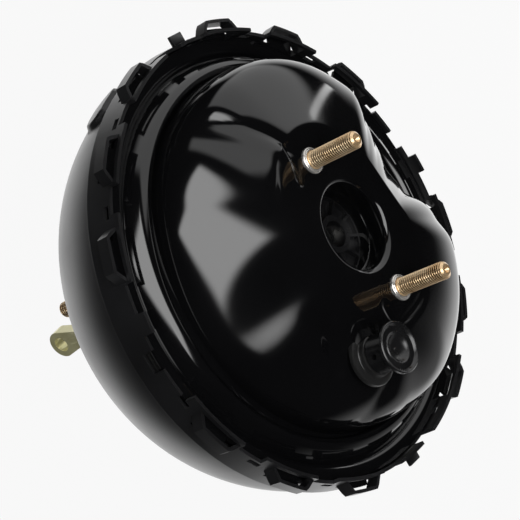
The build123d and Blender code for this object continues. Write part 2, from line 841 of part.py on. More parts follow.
with BuildPart() as stop_key:
    with BuildSketch(face_plane(key_back)):
        Circle(tube_bore - fit)
        with Locations((0, -tube_bore / 2)):
            Rectangle(2 * key_slot, tube_bore, mode=Mode.SUBTRACT)
        Circle(key_slot, mode=Mode.SUBTRACT)
    extrude(amount=key_thickness)
finish(stop_key.part, "stop_key")

ball_retainer = ring(socket_radius - running_fit, rod_neck_radius + 1, plunger_back - 1.6, plunger_back)
finish(ball_retainer, "ball_retainer")

poppet_outer = tube_bore - fit
sleeve_outer = poppet_sleeve + rubber
bead_start = poppet_seat + poppet_length
poppet_valve = turned([
    (poppet_inner, poppet_seat),
    (sleeve_outer, poppet_seat),
    (sleeve_outer, bead_start - poppet_lip),
    (poppet_outer, bead_start - poppet_lip),
    (poppet_outer, bead_start),
    (poppet_sleeve, bead_start),
    (poppet_sleeve, poppet_seat + poppet_lip),
    (poppet_inner, poppet_seat + poppet_lip),
])
finish(poppet_valve, "poppet_valve")

retainer_front = bead_start + running_fit
poppet_retainer = turned([
    (poppet_sleeve - 2, retainer_front),
    (poppet_outer, retainer_front),
    (poppet_outer, retainer_front + 8),
    (poppet_outer - rubber, retainer_front + 8),
    (poppet_outer - rubber, retainer_front + rubber),
    (poppet_sleeve - 2, retainer_front + rubber),
])
finish(poppet_retainer, "poppet_retainer")

poppet_coil = poppet_sleeve - poppet_wire - 0.8
lip_back = poppet_seat + poppet_lip + running_fit
poppet_spring = coil(poppet_coil, poppet_wire, lip_back, bead_start, poppet_turns)
finish(poppet_spring, "poppet_spring")


# ---------------------------------------------------------------- input rod
lean = degrees(atan2(eye_offset, eye_distance - ball_y))
rod_way = (sin(radians(lean)), cos(radians(lean)), 0)
rod_side = (cos(radians(lean)), -sin(radians(lean)), 0)
ball_point = (0, ball_y, 0)
rod_length = (eye_distance - ball_y) / cos(radians(lean))
eye_edge = 0.95 * eye_radius


def rod_plane(distance):
    """Plane across the leaned rod at a distance from the centre of its ball."""
    origin = [ball_point[axis] + distance * rod_way[axis] for axis in range(3)]
    return Plane(origin=origin, x_dir=rod_side, z_dir=rod_way)


with BuildPart() as input_rod:
    with Locations(rod_plane(0)):
        Sphere(ball_radius)
    with BuildSketch(rod_plane(0)):
        Circle(rod_neck_radius)
    extrude(amount=rod_collar_y - ball_y)
    with BuildSketch(rod_plane(3 * ball_radius)):
        Circle(rod_radius)
    extrude(amount=rod_length - 3 * ball_radius - eye_radius + 1)
    with BuildSketch(rod_plane(rod_collar_y - ball_y)):
        Circle(rod_collar_radius)
    extrude(amount=rod_collar)
    # flattened eye
    with BuildSketch(Plane(origin=ball_point, x_dir=rod_way, z_dir=(0, 0, 1))):
        with Locations((rod_length, 0)):
            Circle(eye_radius)
        with BuildLine():
            Polyline(
                (rod_length - eye_blend * eye_radius, rod_radius),
                (rod_length - eye_waist * eye_radius, eye_edge),
                (rod_length - eye_waist * eye_radius, -eye_edge),
                (rod_length - eye_blend * eye_radius, -rod_radius),
                close=True,
            )
        make_face()
        with Locations((rod_length, 0)):
            Circle(eye_hole_radius, mode=Mode.SUBTRACT)
    extrude(amount=eye_width / 2, both=True)
finish(input_rod.part, "input_rod")

spring_front = retainer_front + rubber + running_fit
spring_back = rod_collar_y - fit - rod_collar_radius * tan(radians(lean))
valve_spring = coil(rod_collar_radius - 1, valve_wire, spring_front, spring_back, valve_turns)
finish(valve_spring, "valve_spring")

# air enters through the filter and the silencer at the back of the tube
rod_sweep = (tube_end - ball_y) * tan(radians(lean)) + rod_radius + 3 * fit
air_filter = ring(tube_bore - fit, rod_sweep, tube_end - 5, tube_end)
finish(air_filter, "air_filter")

silencer = ring(tube_bore - fit, rod_sweep, tube_end - 8.5, tube_end - 5 - running_fit)
finish(silencer, "silencer")


# ---------------------------------------------------------------- neck: bearing, seal and boot
neck_bore = neck_radius - sheet - running_fit
bearing_front = -sheet - bearing_flange
rear_bearing = turned([
    (tube_radius + running_fit, bearing_front),
    (bearing_flange_radius, bearing_front),
    (bearing_flange_radius, -sheet - running_fit),
    (neck_bore, -sheet - running_fit),
    (neck_bore, bearing_back),
    (tube_radius + running_fit, bearing_back),
])
finish(rear_bearing, "rear_bearing")

rear_seal = ring(neck_bore, tube_radius + fit, bearing_back + running_fit, seal_back)
finish(rear_seal, "rear_seal")

seal_retainer = ring(neck_bore, tube_radius + 2, seal_back + running_fit, seal_back + rubber)
finish(seal_retainer, "seal_retainer")

grip_radius = neck_radius + neck_bead + fit + boot_sheet
cone_start = tube_end + 3
pleat_pitch = (cone_start - neck_length) / boot_pleats


def boot_wall(inset):
    """Radius and y of each station of the boot's wall, drawn inset by its thickness."""
    points = [(grip_radius, neck_length - 6), (grip_radius, neck_length + 1)]
    for pleat in range(boot_pleats):
        y = neck_length + 1 + pleat_pitch * pleat
        points.append((tube_radius + boot_clearance, y + pleat_pitch / 2))
        points.append((neck_radius + 1 - pleat, y + pleat_pitch))
    points.append((rod_radius + boot_sheet + fit, boot_end - 4))
    points.append((rod_radius + boot_sheet + fit, boot_end))
    return [(radius - inset, y) for radius, y in points]


with BuildPart() as dust_boot:
    for inset, mode in ((0, Mode.ADD), (boot_sheet, Mode.SUBTRACT)):
        sections = []
        for radius, y in boot_wall(inset):
            shift = (y - ball_y) * tan(radians(lean)) if y > cone_start + 5 else 0
            with BuildSketch(face_plane(y, shift)) as section:
                Circle(radius)
            sections.append(section.sketch.face())
        loft(sections, ruled=True, mode=mode)
finish(dust_boot.part, "dust_boot")
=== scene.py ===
import math

import bpy
from mathutils import Matrix, Vector


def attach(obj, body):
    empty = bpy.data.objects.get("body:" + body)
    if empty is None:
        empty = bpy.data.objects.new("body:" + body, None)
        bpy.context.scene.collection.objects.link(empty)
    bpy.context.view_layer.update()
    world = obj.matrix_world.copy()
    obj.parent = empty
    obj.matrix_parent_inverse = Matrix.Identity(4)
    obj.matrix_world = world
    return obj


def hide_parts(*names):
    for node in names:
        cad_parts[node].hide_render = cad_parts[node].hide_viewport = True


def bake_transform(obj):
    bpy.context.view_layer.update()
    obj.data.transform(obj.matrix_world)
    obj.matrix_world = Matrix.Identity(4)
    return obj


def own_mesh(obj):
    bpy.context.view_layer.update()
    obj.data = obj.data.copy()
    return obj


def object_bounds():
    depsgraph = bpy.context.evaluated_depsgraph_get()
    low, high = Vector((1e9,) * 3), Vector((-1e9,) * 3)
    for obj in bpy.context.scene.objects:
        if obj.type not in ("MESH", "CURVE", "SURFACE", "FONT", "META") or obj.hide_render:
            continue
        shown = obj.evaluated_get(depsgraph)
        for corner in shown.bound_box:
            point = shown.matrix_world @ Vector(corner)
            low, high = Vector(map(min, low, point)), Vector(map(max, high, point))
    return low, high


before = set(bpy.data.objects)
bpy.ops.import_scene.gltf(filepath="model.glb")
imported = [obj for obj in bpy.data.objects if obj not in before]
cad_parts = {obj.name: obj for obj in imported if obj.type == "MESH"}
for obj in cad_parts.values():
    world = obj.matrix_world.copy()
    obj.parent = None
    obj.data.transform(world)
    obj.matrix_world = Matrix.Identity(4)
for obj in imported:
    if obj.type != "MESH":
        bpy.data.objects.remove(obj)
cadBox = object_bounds()
mm = 0.001
weldDistance = 0.002 * mm
print("frame loaded, nodes:", len(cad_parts))


def deselectAll():
    if bpy.context.object and bpy.context.object.mode == "EDIT":
        bpy.ops.object.mode_set(mode="OBJECT")
    bpy.ops.object.select_all(action="DESELECT")


def pick(piece):
    deselectAll()
    piece.select_set(True)
    bpy.context.view_layer.objects.active = piece


def bakePlace(piece):
    pick(piece)
    bpy.ops.object.transform_apply(location=True, rotation=True, scale=True)


def applyAll(piece):
    pick(piece)
    for modifier in list(piece.modifiers):
        bpy.ops.object.modifier_apply(modifier=modifier.name)


def mergeAndFaceOut(piece, recalculate=True):
    pick(piece)
    bpy.ops.object.mode_set(mode="EDIT")
    bpy.ops.mesh.select_all(action="SELECT")
    bpy.ops.mesh.remove_doubles(threshold=weldDistance)
    if recalculate:
        bpy.ops.mesh.normals_make_consistent(inside=False)
    bpy.ops.object.mode_set(mode="OBJECT")


def deleteFaces(piece, unwanted):
    # unwanted(centre) says which faces go
    pick(piece)
    for polygon in piece.data.polygons:
        polygon.select = unwanted(polygon.center)
    for edge in piece.data.edges:
        edge.select = False
    for vertex in piece.data.vertices:
        vertex.select = False
    bpy.ops.object.mode_set(mode="EDIT")
    bpy.ops.mesh.select_mode(type="FACE")
    bpy.ops.mesh.delete(type="FACE")
    bpy.ops.object.mode_set(mode="OBJECT")


def smoothEdges(piece, degrees):
    pick(piece)
    bpy.ops.object.shade_smooth_by_angle(angle=math.radians(degrees))


def rollGrid(name, angles, rowCount, place):
    # a flat grid rolled round an axis along Y; place(angle, row) gives its point
    columns = len(angles)
    deselectAll()
    bpy.ops.mesh.primitive_grid_add(x_subdivisions=columns, y_subdivisions=rowCount - 1, size=1)
    piece = bpy.context.object
    piece.name = name
    piece.data.name = name
    for vertex in piece.data.vertices:
        column = round((vertex.co.x + 0.5) * columns)
        row = round((vertex.co.y + 0.5) * (rowCount - 1))
        turn = 360 if column == columns else 0
        vertex.co = place(angles[column % columns] + turn, row)
    bakePlace(piece)
    mergeAndFaceOut(piece, recalculate=False)
    return piece


def aim(piece, outward):
    # turns the sheet's normals so that the first face looks the given way
    polygon = piece.data.polygons[0]
    if polygon.normal.dot(outward(polygon.center)) < 0:
        pick(piece)
        bpy.ops.object.mode_set(mode="EDIT")
        bpy.ops.mesh.select_all(action="SELECT")
        bpy.ops.mesh.flip_normals()
        bpy.ops.object.mode_set(mode="OBJECT")


def turnProfile(name, profile, centre, steps):
    # closed profile of (radius, y) in mm turned round an axis along Y through centre (x, z)
    rows = list(profile) + [profile[0]]
    angles = [360 * i / steps for i in range(steps)]

    def place(angle, row):
        radius, y = rows[row]
        a = math.radians(angle)
        x = centre[0] + radius * math.cos(a) * mm
        z = centre[1] + radius * math.sin(a) * mm
        return Vector((x, y * mm, z))

    piece = rollGrid(name, angles, len(rows), place)
    mergeAndFaceOut(piece)
    return piece


def roundEdges(piece, width, segments=2, limit=30):
    bevel = piece.modifiers.new("roundedEdges", "BEVEL")
    bevel.width = width * mm
    bevel.segments = segments
    bevel.limit_method = "ANGLE"
    bevel.angle_limit = math.radians(limit)
    applyAll(piece)


def ease(x):
    x = max(0.0, min(1.0, x))
    return x * x * (3 - 2 * x)


def turnGap(angle, middle):
    return (angle - middle + 180) % 360 - 180


def nearest(angle, middles):
    return min(abs(turnGap(angle, middle)) for middle in middles)


def edgesOf(middles, width):
    return [middle + sign * width / 2 for middle in middles for sign in (-1, 1)]


def setInputs(node, values):
    for name, value in values.items():
        node.inputs[name].default_value = value


def addMath(tree, operation, *values):
    # each value is a number, or a socket that feeds the node
    node = tree.nodes.new("ShaderNodeMath")
    node.operation = operation
    for socket, value in zip(node.inputs, values):
        if isinstance(value, (int, float)):
            socket.default_value = value
        else:
            tree.links.new(value, socket)
    return node.outputs["Value"]


noiseSpan = (0.3, 0.7)  # the part of a noise's range that its dark and light ends take


def makeFinish(name, values):
    # two noises in object space: a broad one for tone and gloss, a fine one for the surface
    material = bpy.data.materials.new(name)
    material.use_nodes = True
    nodes = material.node_tree.nodes
    links = material.node_tree.links
    shader = nodes["Principled BSDF"]
    setInputs(shader, {"Metallic": values.get("metal", 0.0)})
    place = nodes.new("ShaderNodeTexCoord")
    broad = nodes.new("ShaderNodeTexNoise")
    setInputs(broad, {"Scale": values["broadScale"], "Detail": 4})
    tone = nodes.new("ShaderNodeValToRGB")
    for element, position, colour in zip(tone.color_ramp.elements, noiseSpan, ("dark", "light")):
        element.position = position
        element.color = (*values[colour], 1)
    gloss = nodes.new("ShaderNodeMapRange")
    setInputs(gloss, {"From Min": noiseSpan[0], "From Max": noiseSpan[1],
                      "To Min": values["rough"][0], "To Max": values["rough"][1]})
    fine = nodes.new("ShaderNodeTexNoise")
    setInputs(fine, {"Scale": values["fineScale"], "Detail": 3})
    bump = nodes.new("ShaderNodeBump")
    setInputs(bump, {"Strength": values["bump"], "Distance": values["bumpDepth"] * mm})
    for noise in (broad, fine):
        links.new(place.outputs["Object"], noise.inputs["Vector"])
    links.new(broad.outputs["Fac"], tone.inputs["Fac"])
    colour = tone.outputs["Color"]
    if "grooves" in values:
        # painted shade: the roots of a thread, marked point by point on the piece, are darkened towards a shade tone
        mark = nodes.new("ShaderNodeAttribute")
        mark.attribute_name = values["grooves"]
        shade = nodes.new("ShaderNodeMix")
        shade.data_type = "RGBA"
        shade.inputs["B"].default_value = (*values["paintedShadeTone"], 1)
        links.new(mark.outputs["Fac"], shade.inputs["Factor"])
        links.new(colour, shade.inputs["A"])
        colour = shade.outputs["Result"]
    links.new(colour, shader.inputs["Base Color"])
    links.new(broad.outputs["Fac"], gloss.inputs["Value"])
    links.new(gloss.outputs["Result"], shader.inputs["Roughness"])
    links.new(fine.outputs["Fac"], bump.inputs["Height"])
    links.new(bump.outputs["Normal"], shader.inputs["Normal"])
    return material


finishValues = {
    "glossBlack": {
        "dark": (0.0024, 0.0024, 0.0027), "light": (0.0036, 0.0036, 0.004), "rough": (0.06, 0.1),
        "broadScale": 14, "fineScale": 260, "bump": 0.06, "bumpDepth": 0.06},
    "satinBlack": {
        "dark": (0.006, 0.006, 0.0065), "light": (0.011, 0.011, 0.012), "rough": (0.3, 0.38),
        "broadScale": 22, "fineScale": 900, "bump": 0.12, "bumpDepth": 0.04},
    "goldZinc": {
        "dark": (0.62, 0.4, 0.2), "light": (0.88, 0.7, 0.46), "rough": (0.26, 0.38),
        "broadScale": 90, "fineScale": 1400, "bump": 0.15, "bumpDepth": 0.02, "metal": 0.7,
        # painted shade in the thread roots: the attribute that marks them and the tone that darkens them
        "grooves": "paintedRootShade", "paintedShadeTone": (0.05, 0.022, 0.008)},
    "paleZinc": {
        "dark": (0.6, 0.56, 0.28), "light": (0.82, 0.79, 0.5), "rough": (0.26, 0.42),
        "broadScale": 70, "fineScale": 1200, "bump": 0.15, "bumpDepth": 0.02, "metal": 0.5},
    "silverZinc": {
        "dark": (0.55, 0.53, 0.5), "light": (0.75, 0.73, 0.7), "rough": (0.2, 0.34),
        "broadScale": 90, "fineScale": 1400, "bump": 0.12, "bumpDepth": 0.02, "metal": 0.8},
    "plainSteel": {
        "dark": (0.36, 0.36, 0.37), "light": (0.52, 0.52, 0.53), "rough": (0.3, 0.45),
        "broadScale": 60, "fineScale": 900, "bump": 0.12, "bumpDepth": 0.03, "metal": 1.0},
    "blackRubber": {
        "dark": (0.006, 0.006, 0.006), "light": (0.011, 0.011, 0.011), "rough": (0.34, 0.46),
        "broadScale": 40, "fineScale": 1500, "bump": 0.25, "bumpDepth": 0.04},
    "blackPlastic": {
        "dark": (0.005, 0.005, 0.0055), "light": (0.008, 0.008, 0.0085), "rough": (0.2, 0.3),
        "broadScale": 50, "fineScale": 1100, "bump": 0.15, "bumpDepth": 0.03},
    "whitePlastic": {
        "dark": (0.66, 0.65, 0.6), "light": (0.78, 0.77, 0.73), "rough": (0.35, 0.45),
        "broadScale": 40, "fineScale": 900, "bump": 0.1, "bumpDepth": 0.03},
    "brownPlastic": {
        "dark": (0.08, 0.035, 0.018), "light": (0.13, 0.062, 0.032), "rough": (0.4, 0.5),
        "broadScale": 50, "fineScale": 800, "bump": 0.2, "bumpDepth": 0.04},
    "greyFoam": {
        "dark": (0.07, 0.07, 0.07), "light": (0.26, 0.26, 0.26), "rough": (0.9, 0.98),
        "broadScale": 900, "fineScale": 700, "bump": 0.9, "bumpDepth": 0.5},
    "whiteFelt": {
        "dark": (0.5, 0.49, 0.45), "light": (0.72, 0.71, 0.67), "rough": (0.9, 0.98),
        "broadScale": 500, "fineScale": 1300, "bump": 0.7, "bumpDepth": 0.2},
}
finishes = {name: makeFinish(name, values) for name, values in finishValues.items()}


def paint(piece, finish):
    piece.data.materials.clear()
    piece.data.materials.append(finishes[finish])


print("finishes made:", len(finishes))


cameraValues = {
    "lens": 116.12, "sensor": 36.0, "clipEnd": 20, "place": (203.7, -716.6, 673.8),
    "right": (-0.56784, -0.66950, -0.47888), "down": (-0.79634, 0.29957, 0.52545),
}


def placeCamera():
    data = bpy.data.cameras.new("camera")
    data.lens = cameraValues["lens"]
    data.sensor_width = cameraValues["sensor"]
    data.clip_end = cameraValues["clipEnd"]
    camera = bpy.data.objects.new("camera", data)
    bpy.context.scene.collection.objects.link(camera)
    right = Vector(cameraValues["right"]).normalized()
    up = -Vector(cameraValues["down"]).normalized()
    back = right.cross(up)
    turn = Matrix((right, up, back)).transposed().to_4x4()
    camera.matrix_world = Matrix.Translation(Vector(cameraValues["place"]) * mm) @ turn
    bpy.context.scene.camera = camera


placeCamera()
print("camera placed")


body = {
    "depth": 138.0, "sheet": 2.0, "halfMiddles": (81.0, -91.5), "pitch": 23.0,
}
stationSteps = (-3, -2, -1, 1, 2, 3)
stations = [middle + body["pitch"] * step for middle in body["halfMiddles"] for step in stationSteps]


def yAt(depth):
    return depth - body["depth"]


def ringPoint(radius, angle, depth):
    a = math.radians(angle)
    return Vector((radius * math.cos(a) * mm, yAt(depth) * mm, radius * math.sin(a) * mm))


def angleAndDepth(point):
    return math.degrees(math.atan2(point.z, point.x)), point.y / mm + body["depth"]


def columnAngles(edges, step):
    # every edge angle, with even columns between neighbours
    closest = 0.12
    edges = sorted(set(round(edge % 360, 3) for edge in edges))
    kept = [edges[0]]
    for edge in edges[1:]:
        if edge - kept[-1] > closest:
            kept.append(edge)
    columns = []
    for here, there in zip(kept, kept[1:] + [kept[0] + 360]):
        parts = max(1, round((there - here) / step))
        columns += [here + (there - here) * part / parts for part in range(parts)]
    return columns


def thicken(shell):
    # the sheet's thickness goes inwards, and the modifiers so far are applied
    wall = shell.modifiers.new("sheetThickness", "SOLIDIFY")
    wall.thickness = body["sheet"] * mm
    wall.offset = -1
    applyAll(shell)


rear = {
    "skirt": 132.2, "skirtFront": 38.7, "skirtRows": (57.0, 60.6), "root": 133.5, "rootDepth": 61.8,
    "bowlFront": (131.8, 63.5), "bowlShoulder": (126.2, 90.0), "bowlBack": (100.4, 130.0), "bowlSteps": 48,
    "backFace": 90.0, "cornerSteps": 10, "neck": 30.0, "neckLength": 22.0, "neckBead": 1.4,
    "loopReach": 139.0, "loopAngle": 12.6, "loopFront": 41.5, "loopBack": 49.2, "lanceGap": 0.35,
    "crownShare": 0.62, "loopRise": 1.02, "windowAngle": 9.6, "windowBack": 53.6,
    "slitAngle": 3.2, "slitOffset": -10.2, "slitFront": 45.5, "slitBack": 48.8,
    "gateAngle": 7.0, "gateOffset": 10.2, "gateBack": 44.0,
    "gapAngle": 17.0, "gapShift": 4.25, "gapFloor": 45.0, "pocketAngle": 5.0, "pocketFloor": 52.0,
    "earMiddles": (-8.5, 171.5), "earWidth": 10.5, "earReach": 138.4, "earDepth": 46.0, "earEdge": 0.5,
    "reliefAngle": 6.0, "reliefFloor": 50.0,
    "bossAngle": 13.0, "bossDepth": 75.0, "bossLength": 31.0, "bossWidth": 17.0, "bossHeight": 3.0,
    "bossFoot": 1.4, "bossBlend": 3.0, "bossDepths": (60, 92), "bossSpan": 24,
    "bossColumns": (0, 2.5, 5, 6, 6.5, 7, 7.5, 8.5),
    "columnStep": 1.6, "smoothAngle": 32,
}


def circleThrough(*points):
    # centre and radius of the circle through three (radius, depth) points
    trios = [(points[i], points[(i + 1) % 3], points[(i + 2) % 3]) for i in range(3)]
    d = 2 * sum(a[0] * (b[1] - c[1]) for a, b, c in trios)
    x = sum((a[0] * a[0] + a[1] * a[1]) * (b[1] - c[1]) for a, b, c in trios) / d
    y = sum((a[0] * a[0] + a[1] * a[1]) * (c[0] - b[0]) for a, b, c in trios) / d
    return (x, y), math.hypot(points[0][0] - x, points[0][1] - y)


def bowlRows():
    # (radius, depth) down the bowl, round the corner to the flat back and out to the neck
    centre, radius = circleThrough(rear["bowlFront"], rear["bowlShoulder"], rear["bowlBack"])
    ends = (rear["bowlFront"], rear["bowlBack"])
    start, stop = (math.atan2(point[0] - centre[0], point[1] - centre[1]) for point in ends)
    rows = []
    for i in range(rear["bowlSteps"] + 1):
        a = start + (stop - start) * i / rear["bowlSteps"]
        rows.append((centre[0] + radius * math.sin(a), centre[1] + radius * math.cos(a)))
    # corner: a curve from the bowl's end to the flat back
    back = body["depth"]
    end, before = rows[-1], rows[-2]
    slope = Vector((end[0] - before[0], end[1] - before[1])).normalized()
    knee = end[0] + slope.x * (back - end[1]) / slope.y
    for i in range(1, rear["cornerSteps"] + 1):
        t = i / rear["cornerSteps"]
        r = (1 - t) ** 2 * end[0] + 2 * t * (1 - t) * knee + t * t * rear["backFace"]
        d = (1 - t) ** 2 * end[1] + 2 * t * (1 - t) * back + t * t * back
        rows.append((r, d))
    # flat back, and the neck with its bead
    neck, bead = rear["neck"], rear["neckBead"]
    neckEnd = back + rear["neckLength"]
    beadAt = neckEnd - 2 * bead
    rows += [(neck + out, back) for out in (46, 30, 15, 3, 1.2)]
    rows += [(neck + 0.4, back + 0.3), (neck, back + 1.2), (neck, beadAt - 1.6), (neck + 0.9, beadAt - 1.2)]
    rows += [(neck + bead, beadAt), (neck + 0.9, beadAt + 1.2), (neck, beadAt + 1.6), (neck, neckEnd)]
    return rows


def makeRearShell():
    half = rear["loopAngle"] / 2
    crown = half * rear["crownShare"]
    lance = rear["lanceGap"]
    slits = [station + rear["slitOffset"] for station in stations]
    gates = [station + rear["gateOffset"] for station in stations]
    gaps = [middle + rear["gapShift"] for middle in body["halfMiddles"]]
    pockets = [gap - rear["pocketAngle"] / 2 for gap in gaps]
    reliefs = [middle + rear["reliefAngle"] for middle in rear["earMiddles"]]
    openings = (  # middles, width in degrees, and the depths between which the skirt is cut away
        (stations, rear["loopAngle"], rear["loopFront"] - lance, rear["loopFront"]),
        (stations, rear["loopAngle"], rear["loopBack"], rear["loopBack"] + lance),
        (stations, rear["windowAngle"], rear["loopBack"], rear["windowBack"]),
        (slits, rear["slitAngle"], rear["slitFront"], rear["slitBack"]),
        (gates, rear["gateAngle"], 0, rear["gateBack"]),
        (gaps, rear["gapAngle"], 0, rear["gapFloor"]),
        (pockets, rear["pocketAngle"], 0, rear["pocketFloor"]),
        (reliefs, rear["reliefAngle"], 0, rear["reliefFloor"]),
    )
    edges = edgesOf(stations, 2 * crown)
    for middles, width, front, back in openings:
        edges += edgesOf(middles, width)
    edges += [rear["bossAngle"] + sign * step for sign in (-1, 1) for step in rear["bossColumns"]]
    angles = columnAngles(edges, rear["columnStep"])
    skirtDepths = [
        rear["skirtFront"], rear["loopFront"] - lance, rear["loopFront"], rear["gateBack"], rear["gapFloor"],
        rear["slitFront"], rear["slitBack"], rear["loopBack"], rear["loopBack"] + lance, rear["reliefFloor"],
        rear["pocketFloor"], rear["windowBack"], *rear["skirtRows"],
    ]
    root, rootDepth = rear["root"], rear["rootDepth"]
    slope = (root - rear["skirt"]) / (rootDepth - rear["skirtFront"])
    rows = [(rear["skirt"] + slope * (d - rear["skirtFront"]), d) for d in skirtDepths]
    rows += [(root - 0.02, rootDepth - 0.4), (root, rootDepth)]
    rows += [(root - 0.5, rootDepth + 0.5), (root - 1.6, rootDepth + 1.3)]
    rows += bowlRows()
    bossLow, bossHigh = rear["bossDepths"]

    def place(angle, row):
        radius, depth = rows[row]
        if rear["loopFront"] <= depth <= rear["loopBack"]:
            gap = nearest(angle, stations)
            if gap < half:
                rise = ease((half - gap) / (half - crown) * rear["loopRise"])
                radius = rear["skirt"] + (rear["loopReach"] - rear["skirt"]) * rise
        # pressed boss
        along = abs(math.radians(turnGap(angle, rear["bossAngle"]))) * radius
        if bossLow < depth < bossHigh and along < rear["bossSpan"]:
            dx = max(0, along - (rear["bossLength"] - rear["bossWidth"]) / 2)
            dy = abs(depth - rear["bossDepth"])
            inside = rear["bossWidth"] / 2 + rear["bossFoot"] - math.hypot(dx, dy)
            radius += rear["bossHeight"] * ease(inside / rear["bossBlend"])
        return ringPoint(radius, angle, depth)

    def cutAway(centre):
        angle, depth = angleAndDepth(centre)
        return any(front < depth < back and nearest(angle, middles) < width / 2
                   for middles, width, front, back in openings)

    shell = rollGrid("rearShell", angles, len(rows), place)
    aim(shell, lambda centre: Vector((centre.x, 0, centre.z)))
    deleteFaces(shell, cutAway)
    thicken(shell)
    ears = [makeEar(middle) for middle in rear["earMiddles"]]
    pick(shell)
    for ear in ears:
        ear.select_set(True)
    bpy.ops.object.join()
    smoothEdges(shell, rear["smoothAngle"])
    paint(shell, "satinBlack")
    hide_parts("rear_shell")
    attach(shell, "housing")
    return shell


def makeEar(middle):
    # flat tab pushed out through the skirt
    reach = rear["earReach"] - rear["skirt"] + body["sheet"]
    deselectAll()
    bpy.ops.mesh.primitive_cube_add(size=1, location=(0, 0, 0))
    ear = bpy.context.object
    ear.scale = (reach * mm, body["sheet"] * mm, rear["earWidth"] * mm)
    ear.location = ((rear["earReach"] - reach / 2) * mm, yAt(rear["earDepth"]) * mm, 0)
    bakePlace(ear)
    ear.rotation_euler = (0, -math.radians(middle), 0)
    bakePlace(ear)
    roundEdges(ear, rear["earEdge"])
    return ear


rearShell = makeRearShell()
print("rear shell:", len(rearShell.data.polygons), "faces")


dome = {
    "footSide": 97.0, "footEnd": 105.4, "padSide": 40.0, "padEnd": 62.0, "footDepth": 49.0, "troughDepth": 48.0,
    "lobes": ((-128, 7.5), (-116, 4.4), (-102, 1.8), (-90, 1.6), (-76, 2.2), (-66, 3.4), (-56, 7.0), (-30, 8.0),
              (0, 6.5), (24, 2.6), (46, 2.0), (90, 1.45), (122, 2.0), (145, 2.9), (166, 3.6), (190, 5.5), (232, 7.5)),
    "pilot": 26.4, "pilotLip": 1.9, "seatRadius": 25.9, "seatDepth": 13.5, "cupFloor": 24.5, "cupHole": 20.0,
    "trough": 108.0, "bead": (111.0, 41.9), "corner": (120.2, 52.1), "flangeDepth": 49.5, "rim": 129.9,
    "lugAngle": 7.6, "lugReach": 135.4,
    "lipSteps": 6, "padRows": 24, "levels": 60, "crowding": 1.7, "columnStep": 1.2,
    "foldsEnd": 44, "foldsFade": 12, "softFrom": 3, "softFade": 6, "softEnd": 47, "softRounds": 8, "smoothAngle": 40,
}


def lobeFullness(angle):
    lobes = dome["lobes"]
    turn = (angle - lobes[0][0]) % 360 + lobes[0][0]
    for (start, low), (end, high) in zip(lobes, lobes[1:]):
        if start <= turn <= end:
            return low + (high - low) * (1 - math.cos(math.pi * (turn - start) / (end - start))) / 2
    return lobes[0][1]


def domePoint(angle, level):
    # radius and depth of the dome's wall, level 0 at the pad and 1 at the foot
    c = math.cos(math.radians(angle)) ** 2
    foot = dome["footSide"] + (dome["footEnd"] - dome["footSide"]) * c
    pad = dome["padSide"] + (dome["padEnd"] - dome["padSide"]) * c
    return pad + (foot - pad) * (1 - (1 - level) ** lobeFullness(angle)), level * dome["footDepth"]


# grooves pressed into the dome: places (x, z) along each, half width at its ends, depth in the middle
folds = (
    {"line": ((98, 30), (88, 24), (78, 18), (68, 13), (58, 9), (50, 8)), "width": (4.2, 2.2), "depth": 1.9},
    {"line": ((61, 9), (54, 11), (48, 13), (42, 16), (37, 20)), "width": (2.4, 2.4), "depth": 1.5},
    {"line": ((59, 15), (54, 24), (47, 33), (39, 42)), "width": (2.2, 2.2), "depth": 0.7},
    {"line": ((-41, 14), (-43, 19), (-49, 20), (-56, 18)), "width": (2.4, 2.4), "depth": 1.2},
    {"line": ((-56, 22), (-57, 8), (-57, -6), (-55, -20)), "width": (2.6, 2.6), "depth": 1.2},
    {"line": ((-15, 49), (-30, 55), (-46, 58), (-58, 62)), "width": (6.5, 5), "depth": 2.4},
    {"line": ((-72, 30), (-78, 38), (-84, 48), (-88, 60)), "width": (3, 5), "depth": 1.6},
)


def foldDepth(x, z):
    total = 0.0
    for fold in folds:
        line = fold["line"]
        best, share = 1e9, 0.0
        for i, ((ax, az), (bx, bz)) in enumerate(zip(line, line[1:])):
            dx, dz = bx - ax, bz - az
            along = ((x - ax) * dx + (z - az) * dz) / (dx ** 2 + dz ** 2)
            along = max(0.0, min(1.0, along))
            far = math.hypot(x - ax - along * dx, z - az - along * dz)
            if far < best:
                best, share = far, (i + along) / (len(line) - 1)
        width = fold["width"][0] + (fold["width"][1] - fold["width"][0]) * share
        # each groove is round across, and fades out at its ends
        total += fold["depth"] * math.exp(-(best / width) ** 2) * ease(min(share, 1 - share) * 4 + 0.15)
    return total


def frontInnerRows():
    # (radius, depth) from the hole in the cup's floor, up its wall and round its lip
    lip, seat, pilot = dome["pilotLip"], dome["seatRadius"], dome["pilot"]
    floor, step = dome["cupFloor"], dome["seatDepth"]
    rows = [(dome["cupHole"], floor), (seat - 1, floor), (seat, floor - 1), (seat, 18), (seat, step + 0.1)]
    rows += [(pilot, depth) for depth in (step - 0.1, 9, 6, 3)]
    for i in range(dome["lipSteps"] + 1):
        a = math.pi / 2 * i / dome["lipSteps"]
        rows.append((pilot + lip - lip * math.cos(a), lip - lip * math.sin(a)))
    return rows


